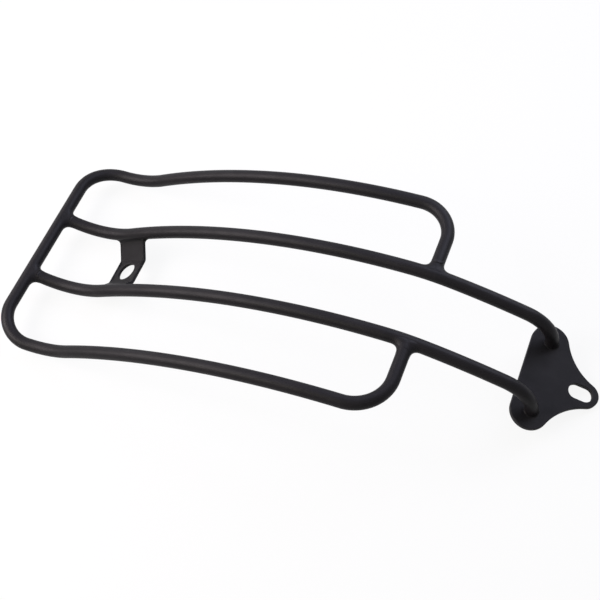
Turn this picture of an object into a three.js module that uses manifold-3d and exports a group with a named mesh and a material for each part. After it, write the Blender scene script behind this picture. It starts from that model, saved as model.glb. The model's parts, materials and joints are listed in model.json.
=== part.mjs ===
// A solo luggage rack for a motorcycle's rear mudguard: a frame of round bar with two long inner
// rails, an outer loop pressed to the same side profile, a hat-shaped strap underneath, and a
// slotted plate at the rails' feet. Everything is welded, so nothing moves.
//
// Millimetres, +Z up, +X towards the slotted plate, +Y to the rack's left.

import * as THREE from 'three';
import { mergeVertices } from 'three/addons/utils/BufferGeometryUtils.js';
import { ParametricGeometry } from 'three/addons/geometries/ParametricGeometry.js';
import Module from 'manifold-3d';

const wasm = await Module();
wasm.setup();
const radians = THREE.MathUtils.degToRad;

// ---------------------------------------------------------------- driving dimensions

// Round bar, the same in every member.
const barDiameter = 9.5;
const innerRailSpacing = 54.4; // between the inner rails' centre lines
const sideBarSpacing = 164.4; // between the loop's side bars' centre lines
const cornerRadius = 26; // the loop's four bends, on the centre line
const loopReach = 314; // from the cross bar to the loop's welded ends, along the profile

// Side profile of every bar, from the cross bar towards the plate.
const lipAngle = 23.7; // how steeply the bars drop away from the raised cross bar
const lipLength = 7;
const dipRadius = 70;
const dipTurn = 46.8;
const archRadius = 444;
const archTurn = 30;
const kneeRadius = 161;
const kneeTurn = 10.5;
const tailRadius = 508;
const tailTurn = 6.3;

// Feet of the inner rails.
const footRadius = 29;
const footTurn = 74;

// Slotted plate.
const plateThickness = 3.5;
const platePitch = 20.8; // below the profile's level line
const lobeRadius = 13.6; // round each foot
const lobeSetback = 0.8; // of the lobes' centres behind the feet
const earReach = 33.2; // from the line of the lobes to the ear's centre
const earRadius = 9.4;
const waistRadius = 41.4; // hollow sides between the lobes and the ear
const slotWidth = 11;
const slotLength = 17.4;
const slotReach = 29.5; // from the line of the lobes to the slot's centre
const edgeBreak = 0.5;

// Hat-shaped strap under the inner rails.
const strapStation = 64; // along the profile, at the strap's middle
const strapWidth = 26.5;
const strapThickness = 2.5;
const strapDrop = 12.3; // from the rails' centre line to the middle of the strap's flat
const strapFlat = 21.7; // between the two folds
const strapBendRadius = 3; // inside the folds
const strapHole = 15;

// Welds.
const seatGap = 0.3; // between a bar's surface and what is welded to it
const crotchRadius = 5.5; // hollow fillets in the corners of the T joints
const beadRadius = 1.5; // run round the rest of each T joint
const beadDepth = 0.5; // of that bead's middle inside the bar's surface
const footBead = 2.6; // leg of the fillet round each foot
const footBeadHollow = 0.25; // share by which the fillet's face sinks in its middle
const strapBead = 2.2; // radius of the bead along each end of the strap
const strapBeadEnd = 4; // radius of the same bead where it wraps round the strap's edges
const strapBeadRunout = 6; // how far it tapers off past the strap's edges
const strapBeadTaper = 1.5; // power of the taper, where 1 is a plain cone
const strapBeadOffset = 0.6; // of the bead's middle out from the bar's surface
const rootDepth = 2.4; // how far a fillet's root lies inside the bars before it is trimmed

// Facets.
const barSides = 20;
const facetSag = 0.12; // most that a flat facet may stand inside a bend
const holeSides = 40;
const plateArcSides = 9; // in each of the plate outline's arcs
const foldSides = 3; // in each fold of the strap
const filletSteps = 16; // from the top to the bottom of a T joint
const filletArcSides = 4; // across a fillet's hollow face
const beadSteps = 32; // round a T joint
const beadSides = 8;
const footWeldSteps = 28; // round a foot
const strapBeadSides = 12;
const taperSteps = 4;

const barRadius = barDiameter / 2;
const railOffset = innerRailSpacing / 2;
const sideOffset = sideBarSpacing / 2;

// ---------------------------------------------------------------- solids

/** Turns a closed three.js geometry into a solid with its faces pointing out. */
function toSolid(geometry) {
  geometry.deleteAttribute('normal');
  geometry.deleteAttribute('uv');
  const merged = mergeVertices(geometry, 1e-4);
  const corners = merged.index.array;
  const triangles = [];
  for (let i = 0; i < corners.length; i += 3) {
    const [a, b, c] = corners.slice(i, i + 3);
    if (a !== b && b !== c && c !== a) triangles.push(a, b, c);
  }
  const vertProperties = new Float32Array(merged.attributes.position.array);
  const solidFrom = (triVerts) =>
    new wasm.Manifold(new wasm.Mesh({ numProp: 3, vertProperties, triVerts }));
  const solid = solidFrom(new Uint32Array(triangles));
  return solid.volume() > 0 ? solid : solidFrom(new Uint32Array(triangles.reverse()));
}

function toMesh(name, solid, material) {
  const { vertProperties, triVerts } = solid.getMesh();
  const geometry = new THREE.BufferGeometry();
  geometry.setAttribute('position', new THREE.BufferAttribute(vertProperties, 3));
  geometry.setIndex(new THREE.BufferAttribute(triVerts, 1));
  geometry.computeVertexNormals();
  const mesh = new THREE.Mesh(geometry, material);
  mesh.name = name;
  return mesh;
}

// ---------------------------------------------------------------- centre lines

/** Straights and bends laid end to end in a plane; at(s) gives the place and heading s along. */
class Run {
  constructor(pieces, heading = 0, start = new THREE.Vector2()) {
    this.pieces = [];
    this.length = 0;
    const place = start.clone();
    for (const { length, turn = 0 } of pieces) {
      this.pieces.push({ from: this.length, place: place.clone(), heading, bend: turn / length });
      const chord = length * sinc(turn / 2);
      place.x += chord * Math.cos(heading + turn / 2);
      place.y += chord * Math.sin(heading + turn / 2);
      heading += turn;
      this.length += length;
    }
  }

  at(s) {
    const piece = this.pieces.findLast(({ from }) => from <= s) ?? this.pieces[0];
    const along = s - piece.from;
    const turn = piece.bend * along;
    const chord = along * sinc(turn / 2);
    return {
      x: piece.place.x + chord * Math.cos(piece.heading + turn / 2),
      y: piece.place.y + chord * Math.sin(piece.heading + turn / 2),
      heading: piece.heading + turn,
    };
  }
}

function sinc(angle) {
  return Math.abs(angle) < 1e-9 ? 1 : Math.sin(angle) / angle;
}

const straight = (length) => ({ length });
const bend = (radius, degrees) => ({
  length: radius * radians(Math.abs(degrees)),
  turn: radians(degrees),
});

/** The side profile, in which x runs forwards and y is the height. */
const profile = new Run(
  [
    straight(lipLength),
    bend(dipRadius, dipTurn),
    bend(archRadius, -archTurn),
    bend(kneeRadius, -kneeTurn),
    bend(tailRadius, -tailTurn),
    bend(footRadius, -footTurn),
  ],
  -radians(lipAngle),
);

/** A point on the profile's surface, s along it and y across. */
function onProfile(s, y) {
  const { x, y: height } = profile.at(s);
  return new THREE.Vector3(x, y, height);
}

/** A bar's centre line, with stations only as close together as its bends need. */
class BarLine extends THREE.Curve {
  constructor(pointAt, from, to) {
    super();
    this.pointAt = pointAt;
    const probe = 0.5;
    this.stations = [from];
    for (let s = from + probe; s < to - probe; s += probe) {
      const last = this.stations.at(-1);
      const turned = this.headingAt(s).angleTo(this.headingAt(last));
      const sag = (turned * (s - last)) / 8;
      if (sag > facetSag) this.stations.push(s);
    }
    this.stations.push(to);
  }

  headingAt(s) {
    const reach = 0.01;
    return this.pointAt(s + reach).sub(this.pointAt(s - reach)).normalize();
  }

  station(u) {
    return this.stations[Math.round(u * (this.stations.length - 1))];
  }

  getPointAt(u) {
    return this.pointAt(this.station(u));
  }

  getTangentAt(u) {
    return this.headingAt(this.station(u));
  }

  bar(radius) {
    const section = new THREE.Shape().absarc(0, 0, radius, 0, 2 * Math.PI);
    const steps = this.stations.length - 1;
    const options = { extrudePath: this, steps, curveSegments: barSides / 2 };
    return toSolid(new THREE.ExtrudeGeometry(section, options));
  }
}

// ---------------------------------------------------------------- bars

/** The loop laid out flat: from its left end round the cross bar to its right end. */
const loopPlan = new Run(
  [
    straight(sideOffset - railOffset - cornerRadius),
    bend(cornerRadius, 90),
    straight(loopReach - 2 * cornerRadius),
    bend(cornerRadius, 90),
    straight(2 * (sideOffset - cornerRadius)),
    bend(cornerRadius, 90),
    straight(loopReach - 2 * cornerRadius),
    bend(cornerRadius, 90),
    straight(sideOffset - railOffset - cornerRadius),
  ],
  Math.PI / 2,
  new THREE.Vector2(loopReach, railOffset),
);

const loopLine = new BarLine(
  (t) => {
    const { x: s, y } = loopPlan.at(t);
    return onProfile(s, y);
  },
  0,
  loopPlan.length,
);

/** An inner rail from the cross bar's centre to past its seat on the plate. */
function railLine(side) {
  return new BarLine((s) => onProfile(s, side * railOffset), 0, profile.length + plateThickness);
}

/** The stretch of an inner rail that a loop end butts against. */
function railStretch(side) {
  const reach = 2 * barDiameter;
  const pointAt = (s) => onProfile(s, side * railOffset);
  return new BarLine(pointAt, loopReach - reach, loopReach + reach);
}

const clearRadius = barRadius + seatGap;
const loopClear = loopLine.bar(clearRadius);

function outerLoop() {
  const ends = railStretch(1).bar(clearRadius).add(railStretch(-1).bar(clearRadius));
  return loopLine.bar(barRadius).subtract(ends);
}

// ---------------------------------------------------------------- slotted plate

const seat = profile.at(profile.length);
const plateFrame = new THREE.Matrix4()
  .makeRotationY(radians(platePitch))
  .setPosition(seat.x, 0, seat.y);

/** The plate's outline, its lobes' centres on x = 0 and its ear along +x. */
function plateOutline() {
  // Centre of the hollow side, which touches the lobe and the ear.
  const lobe = new THREE.Vector2(0, railOffset);
  const ear = new THREE.Vector2(earReach, 0);
  const toLobe = lobeRadius + waistRadius;
  const toEar = earRadius + waistRadius;
  const apart = lobe.distanceTo(ear);
  const along = (toLobe ** 2 - toEar ** 2 + apart ** 2) / (2 * apart);
  const aside = Math.sqrt(toLobe ** 2 - along ** 2);
  const course = ear.clone().sub(lobe).divideScalar(apart);
  const hollow = lobe
    .clone()
    .addScaledVector(course, along)
    .add(new THREE.Vector2(-course.y, course.x).multiplyScalar(aside));

  const lobeToHollow = Math.atan2(hollow.y - lobe.y, hollow.x - lobe.x);
  const earToHollow = Math.atan2(hollow.y - ear.y, hollow.x - ear.x);
  const half = Math.PI;
  const outline = new THREE.Shape();
  outline.absarc(0, -lobe.y, lobeRadius, -half, -lobeToHollow, false);
  outline.absarc(hollow.x, -hollow.y, waistRadius, half - lobeToHollow, half - earToHollow, true);
  outline.absarc(ear.x, 0, earRadius, -earToHollow, earToHollow, false);
  outline.absarc(hollow.x, hollow.y, waistRadius, earToHollow - half, lobeToHollow - half, true);
  outline.absarc(0, lobe.y, lobeRadius, lobeToHollow, half, false);

  const slotHalf = (slotLength - slotWidth) / 2;
  const slot = new THREE.Path();
  slot.absarc(slotReach + slotHalf, 0, slotWidth / 2, -half / 2, half / 2, false);
  slot.absarc(slotReach - slotHalf, 0, slotWidth / 2, half / 2, 3 * half / 2, false);
  outline.holes.push(slot);
  return outline;
}

function slottedPlate() {
  const geometry = new THREE.ExtrudeGeometry(plateOutline(), {
    depth: plateThickness - 2 * edgeBreak,
    bevelThickness: edgeBreak,
    bevelSize: edgeBreak,
    bevelOffset: -edgeBreak,
    bevelSegments: 1,
    curveSegments: plateArcSides,
  });
  geometry.translate(-lobeSetback, 0, edgeBreak - plateThickness);
  return toSolid(geometry.applyMatrix4(plateFrame));
}

/** Everything below the plate's top face and the gap over it. */
function plateSide() {
  const size = 4 * innerRailSpacing;
  const geometry = new THREE.BoxGeometry(size, size, size);
  geometry.translate(0, 0, seatGap - size / 2);
  return toSolid(geometry.applyMatrix4(plateFrame));
}

function innerRail(side) {
  return railLine(side).bar(barRadius).subtract(loopClear).subtract(plateSide());
}

// ---------------------------------------------------------------- strap bracket

const strapPlace = profile.at(strapStation);
const legAngle = Math.atan2(strapDrop, railOffset - strapFlat / 2);

/** Turns from a section drawn in (across, up) and its depth to the strap's own place. */
const strapFrame = new THREE.Matrix4()
  .makeTranslation(strapPlace.x, 0, strapPlace.y)
  .multiply(new THREE.Matrix4().makeRotationY(-strapPlace.heading))
  .multiply(
    new THREE.Matrix4().makeBasis(
      new THREE.Vector3(0, 1, 0),
      new THREE.Vector3(0, 0, 1),
      new THREE.Vector3(1, 0, 0),
    ),
  );

/** The strap's hat section, grown by a clearance on every side. */
function strapSection(clearance) {
  const half = strapThickness / 2 + clearance;
  const inner = strapBendRadius - clearance;
  const middle = strapBendRadius + strapThickness / 2;
  const outer = middle + half;
  const flatEnd = strapFlat / 2 - middle * Math.tan(legAngle / 2);
  const bendHeight = middle - strapDrop;
  const leg = Math.hypot(strapDrop, railOffset - strapFlat / 2) - middle * Math.tan(legAngle / 2);

  /** A point on the leg's end, at a radius from the fold's centre. */
  const legEnd = (side, radius) => {
    const across = flatEnd + radius * Math.sin(legAngle) + leg * Math.cos(legAngle);
    const up = bendHeight - radius * Math.cos(legAngle) + leg * Math.sin(legAngle);
    return [side * across, up];
  };
  const down = -Math.PI / 2;
  const section = new THREE.Shape();
  section.moveTo(...legEnd(-1, inner));
  section.lineTo(...legEnd(-1, outer));
  section.absarc(-flatEnd, bendHeight, outer, down - legAngle, down, false);
  section.absarc(flatEnd, bendHeight, outer, down, down + legAngle, false);
  section.lineTo(...legEnd(1, outer));
  section.lineTo(...legEnd(1, inner));
  section.absarc(flatEnd, bendHeight, inner, down + legAngle, down, true);
  section.absarc(-flatEnd, bendHeight, inner, down, down - legAngle, true);
  return section;
}

function strapBlank(clearance) {
  const depth = strapWidth + 2 * clearance;
  const geometry = new THREE.ExtrudeGeometry(strapSection(clearance), {
    depth,
    bevelEnabled: false,
    curveSegments: foldSides,
  });
  geometry.translate(0, 0, -depth / 2);
  return toSolid(geometry.applyMatrix4(strapFrame));
}

function strapBracket() {
  const radius = strapHole / 2;
  const drill = new THREE.CylinderGeometry(radius, radius, 2 * strapDrop, holeSides);
  drill.translate(0, -strapDrop, 0);
  return strapBlank(0)
    .subtract(toSolid(drill.applyMatrix4(strapFrame)))
    .subtract(railLine(1).bar(clearRadius))
    .subtract(railLine(-1).bar(clearRadius));
}

// ---------------------------------------------------------------- welds

/** A frame with its origin on a T joint, x along the through bar and y along the butted one. */
function jointFrame(origin, through, butted) {
  const up = new THREE.Vector3().crossVectors(through, butted);
  return new THREE.Matrix4().makeBasis(through, butted, up).setPosition(origin);
}

/** One hollow corner of a T joint: the room left by a ball rolled round it. */
function crotchFillet(side) {
  const sectionSides = filletArcSides + 2;
  const reach = barRadius + crotchRadius;
  const root = barRadius - rootDepth;
  const corner = (u, v, target) => {
    const round = Math.PI * (u - 0.5);
    const level = Math.cos(round);
    const rise = Math.sin(round);
    const step = Math.round(v * sectionSides) % sectionSides;
    if (step === sectionSides - 1) {
      target.set(side * root * level, root * level, barRadius * rise);
      return;
    }
    const opening = Math.acos(Math.min(1, rise ** 2));
    const swept = (opening * step) / filletArcSides;
    const spread = Math.max(Math.sin(opening), 1e-9);
    const towardsButted = opening < 1e-6 ? 0.5 : Math.sin(opening - swept) / spread;
    const towardsThrough = opening < 1e-6 ? 0.5 : Math.sin(swept) / spread;
    target.set(
      side * (reach - crotchRadius * towardsButted) * level,
      (reach - crotchRadius * towardsThrough) * level,
      (reach - crotchRadius * (towardsButted + towardsThrough)) * rise,
    );
  };
  return toSolid(new ParametricGeometry(corner, filletSteps, sectionSides));
}

/** The closed line where a butted bar meets the through bar, eased over the top and bottom. */
class SaddleLine extends THREE.Curve {
  getPoint(t, target = new THREE.Vector3()) {
    const round = 2 * Math.PI * t;
    const radius = barRadius - beadDepth;
    const along = Math.hypot(barRadius * Math.cos(round), beadRadius);
    return target.set(radius * Math.cos(round), along, radius * Math.sin(round));
  }
}

function teeWeld(frame, clearOf) {
  const saddle = new SaddleLine();
  const ring = new THREE.TubeGeometry(saddle, beadSteps, beadRadius, beadSides, true);
  return toSolid(ring)
    .add(crotchFillet(1))
    .add(crotchFillet(-1))
    .transform(frame.elements)
    .subtract(clearOf);
}

/** The weld where an inner rail butts against the cross bar. */
function railEndWeld(side) {
  const origin = onProfile(0, side * railOffset);
  const butted = railLine(side).getTangentAt(0);
  const through = new THREE.Vector3(0, 1, 0);
  const clearOf = loopClear.add(railLine(side).bar(clearRadius));
  return teeWeld(jointFrame(origin, through, butted), clearOf);
}

/** The weld where an end of the loop butts against an inner rail. */
function loopEndWeld(side) {
  const origin = onProfile(loopReach, side * railOffset);
  const { heading } = profile.at(loopReach);
  const through = new THREE.Vector3(Math.cos(heading), 0, Math.sin(heading));
  const butted = new THREE.Vector3(0, side, 0);
  const clearOf = loopClear.add(railStretch(side).bar(clearRadius));
  return teeWeld(jointFrame(origin, through, butted), clearOf);
}

/** The fillet round a foot, on the plate's top face. */
function footWeld(side) {
  const centre = new THREE.Vector3(seat.x, side * railOffset, seat.y);
  const upBar = new THREE.Vector3(-Math.cos(seat.heading), 0, -Math.sin(seat.heading));
  const plateUp = new THREE.Vector3(0, 0, 1).transformDirection(plateFrame);
  const across = new THREE.Vector3(0, 1, 0);
  const forwards = new THREE.Vector3().crossVectors(across, upBar);
  const sectionSides = filletArcSides + 2;

  const fillet = (u, v, target) => {
    const round = 2 * Math.PI * u;
    const out = forwards
      .clone()
      .multiplyScalar(Math.cos(round))
      .addScaledVector(across, Math.sin(round));
    const lift = -out.dot(plateUp) / upBar.dot(plateUp);
    const root = centre
      .clone()
      .addScaledVector(out, barRadius)
      .addScaledVector(upBar, barRadius * lift);
    const along = out.clone().addScaledVector(plateUp, -out.dot(plateUp)).normalize();
    const step = Math.round(v * sectionSides) % sectionSides;
    target.copy(root);
    if (step === sectionSides - 1) {
      target.addScaledVector(out, -rootDepth).addScaledVector(plateUp, -footBead);
      return;
    }
    const share = step / filletArcSides;
    const sink = 1 - 4 * footBeadHollow * share * (1 - share);
    target
      .addScaledVector(upBar, footBead * (1 - share) * sink)
      .addScaledVector(along, footBead * share * sink);
  };
  return toSolid(new ParametricGeometry(fillet, footWeldSteps, sectionSides))
    .subtract(railLine(side).bar(clearRadius))
    .subtract(plateSide());
}

/** The bead along a strap end, tapering off on the rail past the strap's edges. */
function strapWeld(side) {
  const edge = strapWidth / 2;
  const taper = [new THREE.Vector2(strapBead, edge - strapBeadEnd)];
  for (let i = 0; i <= taperSteps; i++) {
    const share = i / taperSteps;
    const radius = strapBeadEnd * (1 - share) ** strapBeadTaper;
    taper.push(new THREE.Vector2(radius, edge + share * strapBeadRunout));
  }
  const otherTaper = taper.map(({ x, y }) => new THREE.Vector2(x, -y)).reverse();
  const spindle = new THREE.LatheGeometry([...otherTaper, ...taper], strapBeadSides);
  spindle.rotateX(Math.PI / 2);
  const standOff = barRadius + strapBeadOffset;
  const reach = railOffset - standOff * Math.cos(legAngle);
  const drop = -standOff * Math.sin(legAngle);
  spindle.translate(side * reach, drop, 0);
  return toSolid(spindle.applyMatrix4(strapFrame))
    .subtract(railLine(side).bar(clearRadius))
    .subtract(strapBlank(seatGap));
}

// ---------------------------------------------------------------- the rack

const powderCoat = () =>
  new THREE.MeshStandardMaterial({ color: 0x2b292b, roughness: 0.55, metalness: 0.2 });

const solids = {
  outer_loop: outerLoop(),
  inner_rail_left: innerRail(1),
  inner_rail_right: innerRail(-1),
  slotted_plate: slottedPlate(),
  strap_bracket: strapBracket(),
};
for (const [hand, side] of [['left', 1], ['right', -1]]) {
  solids[`weld_rail_to_cross_bar_${hand}`] = railEndWeld(side);
  solids[`weld_loop_end_${hand}`] = loopEndWeld(side);
  solids[`weld_foot_${hand}`] = footWeld(side);
  solids[`weld_strap_${hand}`] = strapWeld(side);
}

const frame = new THREE.Group();
for (const [name, solid] of Object.entries(solids)) {
  frame.add(toMesh(name, solid, powderCoat()));
}

/** The lowest corner of a sub-part, with the frame at its present tilt. */
function lowestPoint(name) {
  const mesh = frame.getObjectByName(name);
  const corners = mesh.geometry.attributes.position;
  let lowest = new THREE.Vector3(0, 0, Infinity);
  for (let i = 0; i < corners.count; i++) {
    const corner = new THREE.Vector3().fromBufferAttribute(corners, i).applyEuler(frame.rotation);
    if (corner.z < lowest.z) lowest = corner;
  }
  return lowest;
}

// Lay the rack down on its strap and on the plate's ear, as it lies on a bench.
for (let pass = 0; pass < 4; pass++) {
  const back = lowestPoint('strap_bracket');
  const front = lowestPoint('slotted_plate');
  frame.rotation.y += Math.atan2(front.z - back.z, front.x - back.x);
}

// The origin is the middle of the rack's footprint, on the bench.
const extent = new THREE.Box3().setFromObject(frame, true);
const middle = extent.getCenter(new THREE.Vector3());
frame.position.set(-middle.x, -middle.y, -extent.min.z);

const rack = new THREE.Group();
rack.name = 'luggage_rack';
rack.add(frame);

export default rack;
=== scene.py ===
import json
import math

import bpy
import numpy as np
from mathutils import Matrix, Vector
from mathutils.geometry import tessellate_polygon


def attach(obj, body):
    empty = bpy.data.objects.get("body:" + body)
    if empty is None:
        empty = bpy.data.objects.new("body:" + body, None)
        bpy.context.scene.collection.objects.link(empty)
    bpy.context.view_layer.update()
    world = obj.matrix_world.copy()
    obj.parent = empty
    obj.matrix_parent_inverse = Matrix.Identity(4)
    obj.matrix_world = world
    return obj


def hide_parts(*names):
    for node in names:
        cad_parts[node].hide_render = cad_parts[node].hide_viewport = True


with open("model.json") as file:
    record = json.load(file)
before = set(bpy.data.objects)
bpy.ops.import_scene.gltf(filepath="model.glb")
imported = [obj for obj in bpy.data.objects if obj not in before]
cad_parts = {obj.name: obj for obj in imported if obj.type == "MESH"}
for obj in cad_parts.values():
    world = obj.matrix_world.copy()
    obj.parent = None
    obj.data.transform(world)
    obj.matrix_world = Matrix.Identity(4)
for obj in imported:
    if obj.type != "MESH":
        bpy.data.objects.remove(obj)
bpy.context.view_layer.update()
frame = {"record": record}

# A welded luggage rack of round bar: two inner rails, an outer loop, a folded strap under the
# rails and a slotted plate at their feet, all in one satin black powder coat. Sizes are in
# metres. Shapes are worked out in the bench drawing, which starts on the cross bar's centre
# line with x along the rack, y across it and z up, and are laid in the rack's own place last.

mm = 0.001
hands = (("left", 1), ("right", -1))  # the rack's two sides, and which way across each lies

# -------------------------------- sizes of the steelwork

bar_radius = 4.69 * mm  # a hair under the solids' own, whose flats it stays inside
rail_offset = 27.2 * mm  # from the middle of the rack to each inner rail
side_offset = 82.2 * mm  # from the middle of the rack to each side bar
corner_radius = 26 * mm
loop_reach = 314 * mm  # from the cross bar to the loop's welded ends

lip_angle = math.radians(23.7)
lip_length = 7 * mm
side_bends = [  # radius on the centre line, degrees turned, upwards positive
    (70 * mm, 46.8),
    (444 * mm, -30),
    (161 * mm, -10.5),
    (508 * mm, -6.3),
    (29 * mm, -74),
]

plate_thickness = 3.5 * mm
plate_pitch = math.radians(20.8)
lobe_radius = 13.6 * mm  # round each rail's foot
lobe_setback = 0.8 * mm  # from the feet back to the lobes' centres
ear_reach = 33.2 * mm  # from the lobes' centres on to the ear's centre
ear_radius = 9.4 * mm
waist_radius = 41.4 * mm  # of the hollows between the lobes and the ear
slot_width = 11 * mm
slot_length = 17.4 * mm
slot_reach = 29.5 * mm  # from the lobes' centres on to the slot's middle

strap_station = 64 * mm  # from the cross bar to the strap's middle
strap_width = 26.5 * mm
strap_thickness = 2.5 * mm
strap_drop = 12.3 * mm  # from the rails' centre lines to the middle of the flat's sheet
strap_flat = 21.7 * mm  # from fold to fold, measured between the sharp corners
strap_fold = 4.25 * mm  # radius of the folds, on the middle of the sheet
strap_hole_radius = 7.5 * mm
strap_mount_reach = 10.3 * mm  # from the hole's centre to the strap's mount, along the rack


# -------------------------------- centre lines


class Run:
    """Straights and bends laid end to end in a plane."""

    def __init__(self, pieces, heading=0.0, start=(0.0, 0.0)):
        self.pieces = []
        self.length = 0.0
        x, y = start
        for length, turn in pieces:
            self.pieces.append((self.length, x, y, heading, turn / length))
            chord = length * np.sinc(turn / 2 / math.pi)
            x += chord * math.cos(heading + turn / 2)
            y += chord * math.sin(heading + turn / 2)
            heading += turn
            self.length += length

    def at(self, along):
        """The place and heading at a distance along the run."""
        start, x, y, heading, curve = next(
            (p for p in reversed(self.pieces) if p[0] <= along), self.pieces[0]
        )
        turn = curve * (along - start)
        chord = (along - start) * np.sinc(turn / 2 / math.pi)
        return (
            x + chord * math.cos(heading + turn / 2),
            y + chord * math.sin(heading + turn / 2),
            heading + turn,
        )


def straight(length):
    return length, 0.0


def bend(radius, degrees):
    return radius * math.radians(abs(degrees)), math.radians(degrees)


side_profile = Run([straight(lip_length), *(bend(*b) for b in side_bends)], -lip_angle)

corner = bend(corner_radius, 90)
end_run = straight(side_offset - rail_offset - corner_radius)
side_run = straight(loop_reach - 2 * corner_radius)
cross_run = straight(2 * (side_offset - corner_radius))
half_loop = [end_run, corner, side_run, corner]
loop_plan = Run(
    [*half_loop, cross_run, *reversed(half_loop)], math.pi / 2, (loop_reach, rail_offset)
)


def spaced(start, end, pitch):
    """Distances from start to end, no further apart than the pitch."""
    return np.linspace(start, end, math.ceil((end - start) / pitch) + 1)


def on_profile(along, across):
    """A place on the side profile, moved across the rack."""
    x, z, _ = side_profile.at(along)
    return np.array([x, across, z])


def rail_line(side, start, end, pitch):
    """Points on an inner rail's centre line."""
    return np.array([on_profile(s, side * rail_offset) for s in spaced(start, end, pitch)])


def loop_line(pitch):
    """Points on the outer loop's centre line."""
    plan = [loop_plan.at(t) for t in spaced(0, loop_plan.length, pitch)]
    return np.array([on_profile(reach, across) for reach, across, _ in plan])


# -------------------------------- laying the rack in place

mounts = {m["name"]: m for m in frame["record"]["mounts"]}
plate_down = mounts["plate_underside"]["axis"]
tilt = math.atan2(-plate_down[0], -plate_down[2]) - plate_pitch
turn_down = np.array(
    [[math.cos(tilt), 0, math.sin(tilt)], [0, 1, 0], [-math.sin(tilt), 0, math.cos(tilt)]]
)

strap_x, strap_z, strap_heading = side_profile.at(strap_station)
strap_origin = np.array([strap_x, 0, strap_z])
strap_forwards = np.array([math.cos(strap_heading), 0, math.sin(strap_heading)])
strap_up = np.array([-math.sin(strap_heading), 0, math.cos(strap_heading)])
across_rack = np.array([0.0, 1.0, 0.0])

strap_mount = (
    strap_origin
    - (strap_drop + strap_thickness / 2) * strap_up
    + strap_mount_reach * strap_forwards
)
rack_origin = np.array(mounts["strap_underside"]["pos_m"]) - turn_down @ strap_mount


def laid(points):
    """Takes points from the bench drawing to where the rack lies."""
    return np.asarray(points) @ turn_down.T + rack_origin


# -------------------------------- the powder coat


class Coat:
    """A powder coat's nodes, wired up one after another."""

    def __init__(self, name):
        self.material = bpy.data.materials.new(name)
        self.material.use_nodes = True
        self.nodes = self.material.node_tree.nodes
        self.links = self.material.node_tree.links
        self.shader = self.nodes["Principled BSDF"]
        self.place = self.nodes.new("ShaderNodeTexCoord").outputs["Object"]

    def link(self, source, target):
        self.links.new(source, target)

    def noise(self, scale, detail, roughness=0.5):
        node = self.nodes.new("ShaderNodeTexNoise")
        node.inputs["Scale"].default_value = scale
        node.inputs["Detail"].default_value = detail
        node.inputs["Roughness"].default_value = roughness
        self.link(self.place, node.inputs["Vector"])
        return node.outputs["Fac"]

    def attribute(self, name):
        node = self.nodes.new("ShaderNodeAttribute")
        node.attribute_name = name
        return node.outputs["Fac"]

    def ramp(self, value, stops):
        node = self.nodes.new("ShaderNodeValToRGB")
        for element, (position, colour) in zip(node.color_ramp.elements, stops):
            element.position = position
            element.color = (*colour, 1)
        self.link(value, node.inputs["Fac"])
        return node.outputs["Color"]

    def spread(self, value, low, high, to_low, to_high):
        node = self.nodes.new("ShaderNodeMapRange")
        node.inputs["From Min"].default_value = low
        node.inputs["From Max"].default_value = high
        node.inputs["To Min"].default_value = to_low
        node.inputs["To Max"].default_value = to_high
        self.link(value, node.inputs["Value"])
        return node.outputs["Result"]

    def maths(self, operation, a, b):
        node = self.nodes.new("ShaderNodeMath")
        node.operation = operation
        self.link(a, node.inputs[0])
        self.link(b, node.inputs[1])
        return node.outputs["Value"]

    def mix(self, share, under, colour):
        """The colour laid over what is under it."""
        node = self.nodes.new("ShaderNodeMix")
        node.data_type = "RGBA"
        layers = {s.name: s for s in node.inputs if s.type == "RGBA"}
        self.link(share, node.inputs["Factor"])
        self.link(under, layers["A"])
        layers["B"].default_value = (*colour, 1)
        return next(s for s in node.outputs if s.type == "RGBA")

    def bump(self, height, depth, under=None):
        node = self.nodes.new("ShaderNodeBump")
        node.inputs["Strength"].default_value = 1.0
        node.inputs["Distance"].default_value = depth
        self.link(height, node.inputs["Height"])
        if under is not None:
            self.link(under, node.inputs["Normal"])
        return node.outputs["Normal"]


cloud_stops = (0.34, 0.66)  # of the cloud, where the powder is deep and where it is lifted
noise_range = (0.3, 0.7)  # that most of a noise falls in
scuff_range = (0.46, 0.62)  # of the scuffs, from covered to worn
wear_and_highlight_range = (0.15, 1.0)  # how far an edge wears through there, and how strong a painted highlight on a weld's lip is
wear_and_highlight_lift = 1.9  # how much lighter an edge that wears through, and a painted highlight on a weld's lip, is than the lifted powder
corner_shade = 0.12  # painted shade: of the deep powder's colour, what is left far in a corner
smooth_change = (-0.04, 0.05)  # of the roughness, in broad patches
speck_change = (-0.02, 0.02)  # and from speck to speck
grain_share = 0.35  # of the orange peel's depth


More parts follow.
